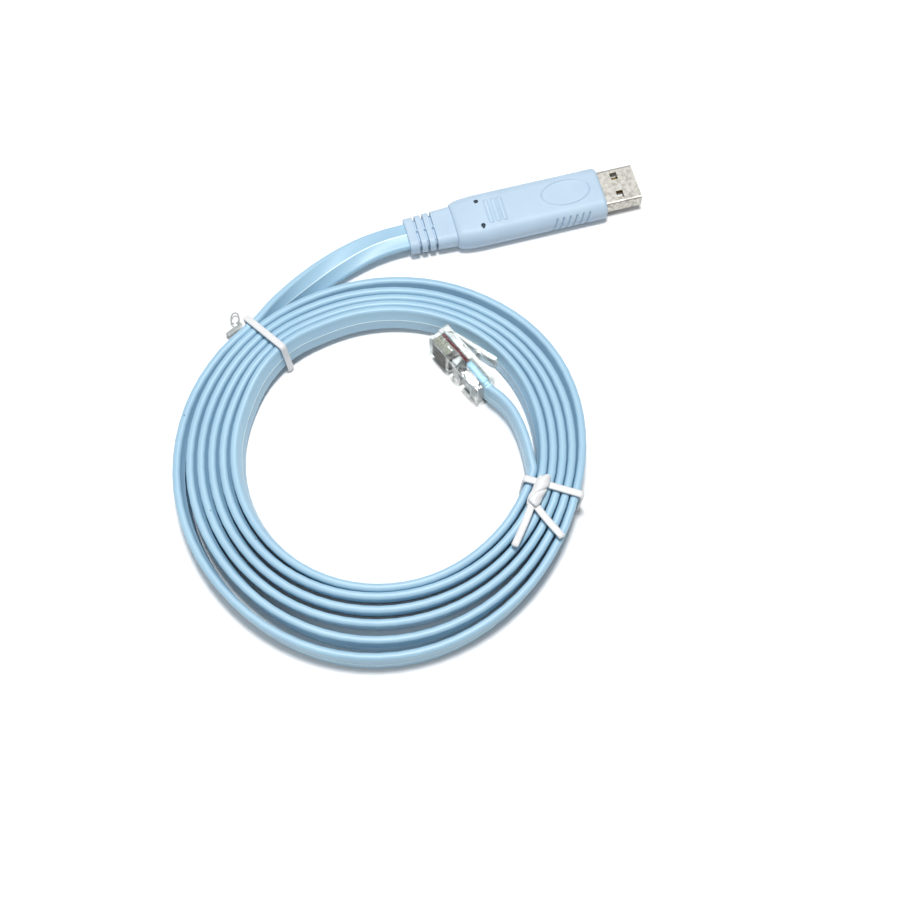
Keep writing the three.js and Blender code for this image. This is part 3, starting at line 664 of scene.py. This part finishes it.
def flat_cable():
    stations = route_stations()
    lay_flat(stations)
    section = cable_section()
    rings = []
    for i, (middle, lean) in enumerate(stations):
        before = stations[max(i - 1, 0)][0]
        after = stations[min(i + 1, len(stations) - 1)][0]
        along = (after - before).normalized()
        left = UP.cross(along).normalized()
        over = along.cross(left)
        width = over * math.cos(math.radians(lean)) + left * math.sin(math.radians(lean))
        outward = width.cross(along)
        rings.append([middle + outward * x + width * y for x, y in section])
    points, faces = loft(rings)
    count = len(section)
    # The faces on top of both seam ridges get the near-white painted highlight.
    far_seam = 4 + 2 * (CABLE_EDGE_STEPS + 1)
    seam_faces = (1, far_seam + 1)
    looks = [1 if i % count in seam_faces else 0 for i in range(len(faces) - 2)] + [0, 0]
    materials = [CABLE_BLUE, SEAM_PAINTED_HIGHLIGHT]
    made = make_piece("flat_cable", points, faces, materials, looks)
    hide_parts("cable_coil", "cable_lead", "cable_tail")
    return made, [to_frame(middle) for middle, _ in reversed(stations)]


cable, cable_path = flat_cable()


# Placing what is drawn in a plug's own axes
def usb_point(x, y, z):
    along = heading(USB_HEADING)
    return USB_EXIT + along * x + UP.cross(along) * y + UP * z


def modular_point(x, y, z):
    nose = heading(MODULAR_HEADING)
    return MODULAR_REAR + nose * x + UP * y + heading(MODULAR_HEADING - 90) * z


def smoothed(mesh_data, angle=35):
    """Smooth shading that keeps edges sharper than the angle."""
    work = bmesh.new()
    work.from_mesh(mesh_data)
    bmesh.ops.recalc_face_normals(work, faces=work.faces)
    for edge in work.edges:
        if len(edge.link_faces) == 2:
            edge.smooth = edge.calc_face_angle(0) < math.radians(angle)
    for face in work.faces:
        face.smooth = True
    work.to_mesh(mesh_data)
    work.free()


# USB plug: the moulded body
def stadium_distance(x, y, centre, half):
    """Signed distance to a stadium that stands across the plug."""
    straight = half[1] - half[0]
    reach = max(abs(y - centre[1]) - straight, 0)
    return math.hypot(x - centre[0], reach) - half[0]


def oval_distance(x, y):
    u = (x - OVAL_CENTRE[0]) / OVAL_HALF[0]
    v = (y - OVAL_CENTRE[1]) / OVAL_HALF[1]
    level = math.hypot(u, v)
    if level < 0.2:
        return -OVAL_HALF[1]
    slope = math.hypot(u / OVAL_HALF[0], v / OVAL_HALF[1]) / level
    return (level - 1) / slope


def line_relief(distance):
    """Height of a raised line with soft sides."""
    away = abs(distance) / (RELIEF_WIDTH * 1.6)
    return RELIEF_HEIGHT * (1 - smoothstep(away, 0.35, 1)) if away < 1 else 0


def top_relief(x, y):
    """Raised lines and pin holes on the plug's top face."""
    height = 0.0
    if SLOT_ROW[0] - 2 < x < SLOT_ROW[-1] + 2:
        for place in SLOT_ROW:
            height = max(height, line_relief(stadium_distance(x, y, (place, 0), SLOT_HALF)))
    if abs(x - OVAL_CENTRE[0]) < OVAL_HALF[0] + 1:
        height = max(height, line_relief(oval_distance(x, y)))
    for place in LIGHT_HOLES:
        away = math.hypot(x - place[0], y - place[1]) / LIGHT_HOLE_RADIUS
        height -= LIGHT_HOLE_DEPTH * (1 - smoothstep(away, *LIGHT_HOLE_RIM))
    return height


def side_relief(x, z):
    """Slanted finger grooves near the front of both sides."""
    slant = x - z * math.tan(math.radians(GRIP_SLANT))
    place = (GRIP_LAST - slant) / GRIP_PITCH
    nearest = min(max(round(place), 0), GRIP_COUNT - 1)
    away = abs(place - nearest) * GRIP_PITCH
    ends = 1 - smoothstep(abs(z), *GRIP_ENDS)
    return -GRIP_DEPTH * (1 - smoothstep(away, *GRIP_SIDES)) * ends


def body_half(x):
    """Half width, half height and edge radius of the moulding at a distance from its cable end."""
    if x <= NECK_LENGTH:
        flare = 1 + (NECK_FLARE - 1) * x / NECK_LENGTH
        return NECK_HALF[0] * flare, NECK_HALF[1] * flare, NECK_EDGE
    neck = (NECK_HALF[0] * NECK_FLARE, NECK_HALF[1] * NECK_FLARE)
    share = min((x - NECK_LENGTH) / SHOULDER_LENGTH, 1)
    wide = math.sqrt(1 - (1 - share) ** SHOULDER_BEND)
    tall = math.sqrt(1 - (1 - min(share * SHOULDER_TOP_SPEED, 1)) ** SHOULDER_TOP_BEND)
    rest = 1 - SHOULDER_STEP
    width = neck[0] + (BODY_HALF[0] - neck[0]) * (SHOULDER_STEP + rest * wide)
    height = neck[1] + (BODY_HALF[1] - neck[1]) * (SHOULDER_STEP + rest * tall)
    edge = NECK_EDGE + (BODY_EDGE - NECK_EDGE) * tall
    return width, height, edge


def moulding_ring(x, width, height, edge, groove=0.0, relief=True):
    """One closed section of the moulding, from the near top corner round to it again."""
    points = []

    def side_line(count, start, end):
        step = ((end[0] - start[0]) / count, (end[1] - start[1]) / count)
        return [(start[0] + step[0] * i, start[1] + step[1] * i) for i in range(count)]

    def corner(cx, cz, start):
        turns = [math.radians(start - 90 * i / CORNER_COLUMNS) for i in range(CORNER_COLUMNS)]
        return [(cx + edge * math.cos(turn), cz + edge * math.sin(turn)) for turn in turns]

    flat, tall = width - edge, height - edge
    outline = [
        *side_line(TOP_COLUMNS, (-flat, height), (flat, height)),
        *corner(flat, tall, 90),
        *side_line(SIDE_COLUMNS, (width, tall), (width, -tall)),
        *corner(flat, -tall, 0),
        *side_line(BOTTOM_COLUMNS, (flat, -height), (-flat, -height)),
        *corner(-flat, -tall, -90),
        *side_line(SIDE_COLUMNS, (-width, -tall), (-width, tall)),
        *corner(-flat, tall, 180),
    ]
    for i, (y, z) in enumerate(outline):
        bridge = smoothstep(abs(y), *NECK_BRIDGE) if z > 0 else 1
        if groove > 0:
            pinch = groove * bridge
            y -= math.copysign(min(pinch, abs(y)), y) if abs(y) > flat else 0
            z -= math.copysign(pinch, z) if abs(z) > tall else 0
        if relief and i < TOP_COLUMNS:
            z += top_relief(x, y)
        if relief and z > 0:
            z -= BODY_CROWN * (y / width) ** 2
        if relief and abs(y) > width - edge * 0.6:
            y += math.copysign(1, y) * side_relief(x, z)
        points.append(usb_point(x, y, z))
    return points


def moulding_rings():
    rings = [moulding_ring(0, *first, relief=False) for first in NECK_FIRST_RINGS]
    x = 0.25
    while x < NECK_LENGTH - NECK_STEP / 2:
        width, height, edge = body_half(x)
        groove = 0.0
        for start in NECK_GROOVES:
            middle = start + NECK_GROOVE_WIDTH / 2
            away = abs(x - middle) / (NECK_GROOVE_WIDTH / 2 + 0.1)
            groove = max(groove, NECK_GROOVE_DEPTH * (1 - smoothstep(away, 0.55, 1.0)))
        rings.append(moulding_ring(x, width, height, edge, groove, relief=False))
        x += NECK_STEP
    front = NECK_LENGTH + BODY_LENGTH
    steps = round((BODY_LENGTH - FRONT_ROUND) / BODY_STEP)
    for i in range(steps + 1):
        x = NECK_LENGTH + (BODY_LENGTH - FRONT_ROUND) * i / steps
        rings.append(moulding_ring(x, *body_half(x)))
    for i in range(1, FRONT_STEPS + 1):
        turn = math.radians(90 * i / FRONT_STEPS)
        x = front - FRONT_ROUND + FRONT_ROUND * math.sin(turn)
        inset = FRONT_ROUND * (1 - math.cos(turn))
        half = (BODY_HALF[0] - inset, BODY_HALF[1] - inset)
        rings.append(moulding_ring(x, *half, BODY_EDGE - inset * 0.6))
    hole = (SHELL_HALF[0] + SHELL_GAP, SHELL_HALF[1] + SHELL_GAP, SHELL_CORNER + SHELL_GAP)
    rings.append(moulding_ring(front, *hole, relief=False))
    rings.append(moulding_ring(front - SHELL_SEATED - SHELL_GAP, *hole, relief=False))
    return rings


def usb_moulding():
    points, faces = loft(moulding_rings())
    piece = make_piece("plug_moulding", points, faces, [MOULDING_BLUE])
    smoothed(piece.data, 50)
    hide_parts("usb_overmould")


usb_moulding()


def pin_holes():
    """Cups at the bottom of the two small holes, painted dark: painted shade in the holes."""
    for i, (x, y) in enumerate(LIGHT_HOLES):
        rings = []
        for radius, depth in CUP_OUTLINE:
            ring = []
            for j in range(CUP_STEPS):
                turn = 2 * math.pi * j / CUP_STEPS
                across, beside = radius * math.cos(turn), radius * math.sin(turn)
                ring.append(usb_point(x + across, y + beside, BODY_HALF[1] - depth))
            rings.append(ring)
        points, faces = loft(rings)
        cup = make_piece(f"pin_hole_{i + 1}", points, faces, [HOLE_PAINTED_SHADE])
        smoothed(cup.data, 40)


pin_holes()


# CAD nodes whose shape is right get the real material
def dress(node, material):
    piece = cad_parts[node]
    piece.data.materials.clear()
    piece.data.materials.append(material)


dress("usb_shell", SHELL_NICKEL)
dress("usb_tongue", TONGUE_WHITE)
for i in range(1, 5):
    dress(f"usb_contact_{i}", CONTACT_GOLD)
for i in range(1, WIRE_COUNT + 1):
    dress(f"rj45_contact_{i}", BLADE_METAL)
for i, colour in enumerate(WIRE_COLOURS):
    dull = tuple(value * WIRE_SHADE for value in colour)
    wire = plastic(f"wire_{i + 1}", colour, dull, (0.35, 0.5), 300, 3000, 0.00001)
    dress(f"rj45_wire_{i + 1}", wire)


# Modular plug: the clear moulding, cut from plain blocks
def block(low, high):
    """Corners and faces of a box."""
    sides = list(zip(low, high))
    points = [(x, y, z) for x in sides[0] for y in sides[1] for z in sides[2]]
    faces = [(0, 1, 3, 2), (4, 6, 7, 5), (0, 4, 5, 1), (2, 3, 7, 6), (0, 2, 6, 4), (1, 5, 7, 3)]
    return points, faces


def bar_from_profile(profile, half_width):
    """A profile in x and z, as wide as given each way along y."""
    count = len(profile)
    points = [(x, -half_width, z) for x, z in profile] + [(x, half_width, z) for x, z in profile]
    faces = [tuple(range(count)), tuple(reversed(range(count, 2 * count)))]
    faces += [(i, i + count, (i + 1) % count + count, (i + 1) % count) for i in range(count)]
    return points, faces


def raw_object(name, shape):
    mesh = bpy.data.meshes.new(name)
    mesh.from_pydata([Vector(point) for point in shape[0]], [], shape[1])
    work = bmesh.new()
    work.from_mesh(mesh)
    bmesh.ops.recalc_face_normals(work, faces=work.faces)
    work.to_mesh(mesh)
    work.free()
    piece = bpy.data.objects.new(name, mesh)
    bpy.context.scene.collection.objects.link(piece)
    return piece


def apply_modifiers(piece):
    graph = bpy.context.evaluated_depsgraph_get()
    graph.update()
    mesh = bpy.data.meshes.new_from_object(piece.evaluated_get(graph))
    piece.modifiers.clear()
    piece.data = mesh


def carved(name, solids, cuts, bevel):
    """The solids joined, the cuts taken out and the edges rounded."""
    piece = raw_object(name, solids[0])
    for operation, shapes in (("UNION", solids[1:]), ("DIFFERENCE", cuts)):
        for shape in shapes:
            tool = raw_object("tool", shape)
            step = piece.modifiers.new("step", "BOOLEAN")
            step.operation = operation
            step.solver = "EXACT"
            step.object = tool
            apply_modifiers(piece)
            bpy.data.objects.remove(tool)
    round_off = piece.modifiers.new("round", "BEVEL")
    round_off.width = bevel
    round_off.segments = 2
    round_off.limit_method = "ANGLE"
    round_off.angle_limit = math.radians(35)
    round_off.use_clamp_overlap = True
    apply_modifiers(piece)
    return piece


def place_modular(piece, material):
    """Moves a mesh from the plug's own axes into the row frame."""
    for vertex in piece.data.vertices:
        vertex.co = to_frame(modular_point(*vertex.co))
    piece.data.materials.clear()
    piece.data.materials.append(material)
    smoothed(piece.data, 30)
    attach(piece, "root")
    return piece


def modular_housing():
    half = MODULAR_HALF
    thick = MODULAR_THICK
    # The latch, from its root at the nose to its free end and back along its underside
    latch = [
        (19.9, thick - 1.1),
        (21.5, thick - 1.1),
        (21.5, thick),
        (19.9, thick + 1.1),
        (5.8, thick + 5.5),
        (5.8, thick + 4.1),
        (10.1, thick + 2.85),
        (10.5, thick + 1.5),
        (12.2, thick + 2.15),
    ]
    solids = [
        block((0, -half, 0), (MODULAR_LENGTH, half, thick)),
        bar_from_profile(latch, 2.7),
        block((13.4, -3.1, thick - 0.5), (19.6, 3.1, thick + 0.7)),
    ]
    # The sheath's pocket and its mouth, the wires' space, the two crimp windows, the recess
    # over the blades and the notch at the nose
    cuts = [
        block((-1, -4.6, 2.9), (SHEATH_INSIDE + 0.4, 4.6, 5.7)),
        block((-1, -4.95, 2.5), (1.3, 4.95, 6.0)),
        block((SHEATH_INSIDE, -4.15, CABLE_DEPTH - 0.6), (20.6, 4.15, CABLE_DEPTH + 0.6)),
        block((3.0, -3.75, -1), (7.6, 3.75, 1.5)),
        block((9.9, -4.3, -1), (12.6, 4.3, 1.3)),
        block((13.9, -5.0, -1), (21.0, 5.0, 0.45)),
        block((18.2, half - 1.0, 1.3), (22.0, half + 1, 3.4)),
    ]
    for i in range(WIRE_COUNT):
        y = (i - (WIRE_COUNT - 1) / 2) * WIRE_PITCH
        cuts.append(block((14.4, y - 0.3, -1), (20.6, y + 0.3, CABLE_DEPTH)))
    carving = carved("modular_housing", solids, cuts, HOUSING_BEVEL)
    clear = place_modular(carving, CLEAR)
    clear.visible_shadow = False
    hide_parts("rj45_housing")
    return clear


def crimp_tabs():
    """The two pressed-in bars that hold the sheath and the wires, white where they are stressed."""
    tab = [(3.1, 1.3), (7.5, 1.3), (7.5, 2.2), (6.6, 3.0), (4.2, 3.0), (3.1, 2.0)]
    bar = [(10.1, 1.1), (12.3, 1.1), (12.0, 3.5), (10.9, 3.5)]
    solids = [bar_from_profile(tab, 3.7), bar_from_profile(bar, 4.1)]
    return place_modular(carved("crimp_tabs", solids, [], CRIMP_BEVEL), CRIMPED)


housing = modular_housing()
tabs = crimp_tabs()


# Wire ties: plastic covered wire, oval in section
def strip(name, path, facing, half_width, half_thick, closed=False, material=TIE_WHITE):
    """An oval strip along points, its flat side towards the facing directions."""
    rings = []
    count = len(path)
    for i in range(count):
        before = path[i - 1] if closed or i > 0 else path[i]
        after = path[(i + 1) % count] if closed or i < count - 1 else path[i]
        along = (after - before).normalized()
        normal = (facing[i] - along * facing[i].dot(along)).normalized()
        side = along.cross(normal)
        at_end = not closed and i in (0, count - 1)
        shrink = 0.45 if at_end else 1.0
        ring = []
        for j in range(STRIP_STEPS):
            turn = 2 * math.pi * j / STRIP_STEPS
            wide = math.copysign(abs(math.cos(turn)) ** 0.7, math.cos(turn))
            tall = math.copysign(abs(math.sin(turn)) ** 0.8, math.sin(turn))
            offset = side * half_width * wide + normal * half_thick * tall
            ring.append(path[i] + offset * shrink)
        rings.append(ring)
    points, faces = loft(rings, closed)
    lowest = min(point.z for point in points)
    rise = UP * max(TIE_CLEAR - lowest, 0)
    points = [point + rise for point in points]
    made = make_piece(name, points, faces, [material])
    smoothed(made.data, 60)
    return made


def smooth_path(points, samples):
    """Points close together on one smooth curve, with a short first and last step for round ends."""
    spots = [Vector(point) for point in points]
    padded = [spots[0] * 2 - spots[1], *spots, spots[-1] * 2 - spots[-2]]
    path = []
    for i in range(len(spots) - 1):
        for j in range(samples):
            path.append(spline(*padded[i : i + 4], j / samples))
    path.append(spots[-1])
    step = (path[1] - path[0]).normalized() * 0.25
    path.insert(1, path[0] + step)
    step = (path[-1] - path[-2]).normalized() * 0.25
    path.insert(len(path) - 1, path[-1] - step)
    return path


def band_path(past):
    """The closed line of a tie's band round the turns, as points and the directions it faces."""
    inner, outer = coil_frame(past), coil_frame(past + COIL_TURNS)
    half, side = CABLE_WIDTH / 2, CABLE_THICK / 2
    away = TIE_GAP + TIE_THICK / 2

    def corner(place, x, y):
        point = place["middle"] + place["outward"] * x + place["width"] * y
        return (point - COIL_CENTRE).xy.length, point.z

    low_outer = corner(outer, side, -half)
    corners = [
        (corner(inner, -side, -half)[0], low_outer[1]),
        low_outer,
        corner(outer, side, half),
        corner(inner, -side, half),
    ]
    outwards = inner["radial"]
    path, facing = [], []
    for i in range(4):
        before, here, after = corners[i - 1], corners[i], corners[(i + 1) % 4]
        start = math.atan2(-(here[0] - before[0]), here[1] - before[1])
        end = math.atan2(-(after[0] - here[0]), after[1] - here[1])
        if end < start:
            end += 2 * math.pi
        spots = []
        for step in range(BAND_CORNER_STEPS + 1):
            spots.append((start + (end - start) * step / BAND_CORNER_STEPS, 0))
        for step in range(1, BAND_SIDE_STEPS):
            spots.append((end, step / BAND_SIDE_STEPS))
        for turn, share in spots:
            across, up = math.cos(turn), math.sin(turn)
            distance = here[0] + (after[0] - here[0]) * share + away * across
            height = here[1] + (after[1] - here[1]) * share + away * up
            path.append(COIL_CENTRE + outwards * distance + UP * height)
            facing.append(outwards * across + UP * up)
    return path, facing


def twisted_pair(name, start, end, turns, spread_by, half_width, half_thick):
    """Two strands of the wire wound round each other, a number of turns and a distance apart."""
    along = (end - start).normalized()
    side = UP.cross(along).normalized()
    over = along.cross(side)
    for strand in range(2):
        path, facing = [], []
        for i in range(33):
            share = i / 32
            turn = math.pi * strand + 2 * math.pi * turns * share
            away = side * math.cos(turn) + over * math.sin(turn)
            pinch = spread_by * (0.75 + 0.25 * math.sin(math.pi * share))
            path.append(start + (end - start) * share + away * pinch)
            facing.append(away)
        strip(f"{name}_{strand + 1}", path, facing, half_width, half_thick)


def tail(name, points, half_width=TIE_WIDTH / 2, half_thick=TIE_THICK / 2, material=TIE_WHITE):
    """A free end of the wire, flat side up, along a few points."""
    path = smooth_path(points, 6)
    strip(name, path, [UP] * len(path), half_width, half_thick, material=material)


def right_tie():
    path, facing = band_path(0)
    band = strip("tie_right_band", path, facing, TIE_WIDTH / 2, TIE_THICK / 2, closed=True)
    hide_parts("twist_tie_right")
    knot = max(point.z for point in path) + RIGHT_KNOT_RISE
    start, end = [Vector((x, y, knot)) for x, y in RIGHT_KNOT_ENDS]
    twisted_pair("tie_right_knot", start, end, 0.8, 0.9, 1.6, 0.9)
    for i, points in enumerate(RIGHT_TAILS):
        tail(f"tie_right_tail_{i + 1}", [(x, y, knot + rise) for x, y, rise in points])


def left_tie():
    past = angle_to_turns(LEFT_BAND_ANGLE) - FIRST_TURN
    path, facing = band_path(past)
    band = strip("tie_left_band", path, facing, TIE_WIDTH / 2, TIE_THICK / 2, closed=True)
    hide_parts("twist_tie_left")
    out = heading(LEFT_BAND_ANGLE)
    aside = UP.cross(out)
    edge = COIL_CENTRE + out * max((point - COIL_CENTRE).xy.length for point in path)
    start = edge + UP * LEFT_KNOT_HEIGHT
    end = start + out * LEFT_KNOT_LENGTH
    twisted_pair("tie_left_knot", start, end, 0.75, 0.4, 0.5, 0.35)
    middle = end + out * LEFT_LOOP_AWAY
    loop = [end, end + out * LEFT_LOOP_NECK]
    for degrees in range(-60, 271, 30):
        turn = math.radians(degrees)
        across, up = LEFT_LOOP_HALF[0] * math.cos(turn), LEFT_LOOP_HALF[1] * math.sin(turn)
        loop.append(middle + Vector((across, up, 0)))
    # The loop and the tail are the same white wire as the band, coloured grey: painted shade.
    tail("tie_left_loop", loop, LEFT_LOOP_THICK, LEFT_LOOP_THICK, TIE_PAINTED_SHADE)
    wedge = [end] + [end + aside * beside + out * away for beside, away in LEFT_TAIL]
    tail("tie_left_tail", wedge, *LEFT_TAIL_HALF, TIE_PAINTED_SHADE)


right_tie()
left_tie()


# A list of what sits at the cable's modular plug end: the clear housing, the crimp tabs, the blades
# and the wires
on_cable = [housing, tabs]
on_cable += [f"rj45_contact_{i}" for i in range(1, WIRE_COUNT + 1)]
on_cable += [f"rj45_wire_{i}" for i in range(1, WIRE_COUNT + 1)]


# Floor and soft studio light
def add_floor():
    material, nodes, links, shader = node_setup("floor_white")
    faint = noise_node(nodes, links, 3.0)
    share = spread(nodes, links, faint.outputs["Fac"], 0, 1)
    white = two_tone(nodes, links, share, FLOOR_LIGHT, FLOOR_DARK)
    links.new(white, shader.inputs["Base Color"])
    shader.inputs["Roughness"].default_value = 0.9
    mesh = bpy.data.meshes.new("floor")
    size = FLOOR_HALF
    points = [(-size, -size, 0), (size, -size, 0), (size, size, 0), (-size, size, 0)]
    mesh.from_pydata(points, [], [(0, 1, 2, 3)])
    mesh.materials.append(material)
    floor = bpy.data.objects.new("floor", mesh)
    bpy.context.scene.collection.objects.link(floor)


def add_light(name, position, size, power):
    """A round soft light that looks at the frame's origin."""
    data = bpy.data.lights.new(name, "AREA")
    data.shape = "DISK"
    data.size = size
    data.energy = power
    light = bpy.data.objects.new(name, data)
    bpy.context.scene.collection.objects.link(light)
    light.location = position
    light.rotation_mode = "QUATERNION"
    light.rotation_quaternion = (-Vector(position)).to_track_quat("-Z", "Y")


def add_world():
    world = bpy.data.worlds.new("studio")
    world.use_nodes = True
    bpy.context.scene.world = world
    shade = world.node_tree.nodes["Background"]
    shade.inputs["Color"].default_value = WORLD_COLOUR
    shade.inputs["Strength"].default_value = WORLD_STRENGTH


add_floor()
add_world()
add_light("key", KEY_PLACE, KEY_SIZE, KEY_POWER)
add_light("fill", FILL_PLACE, FILL_SIZE, FILL_POWER)
bpy.context.scene.view_settings.view_transform = "Standard"
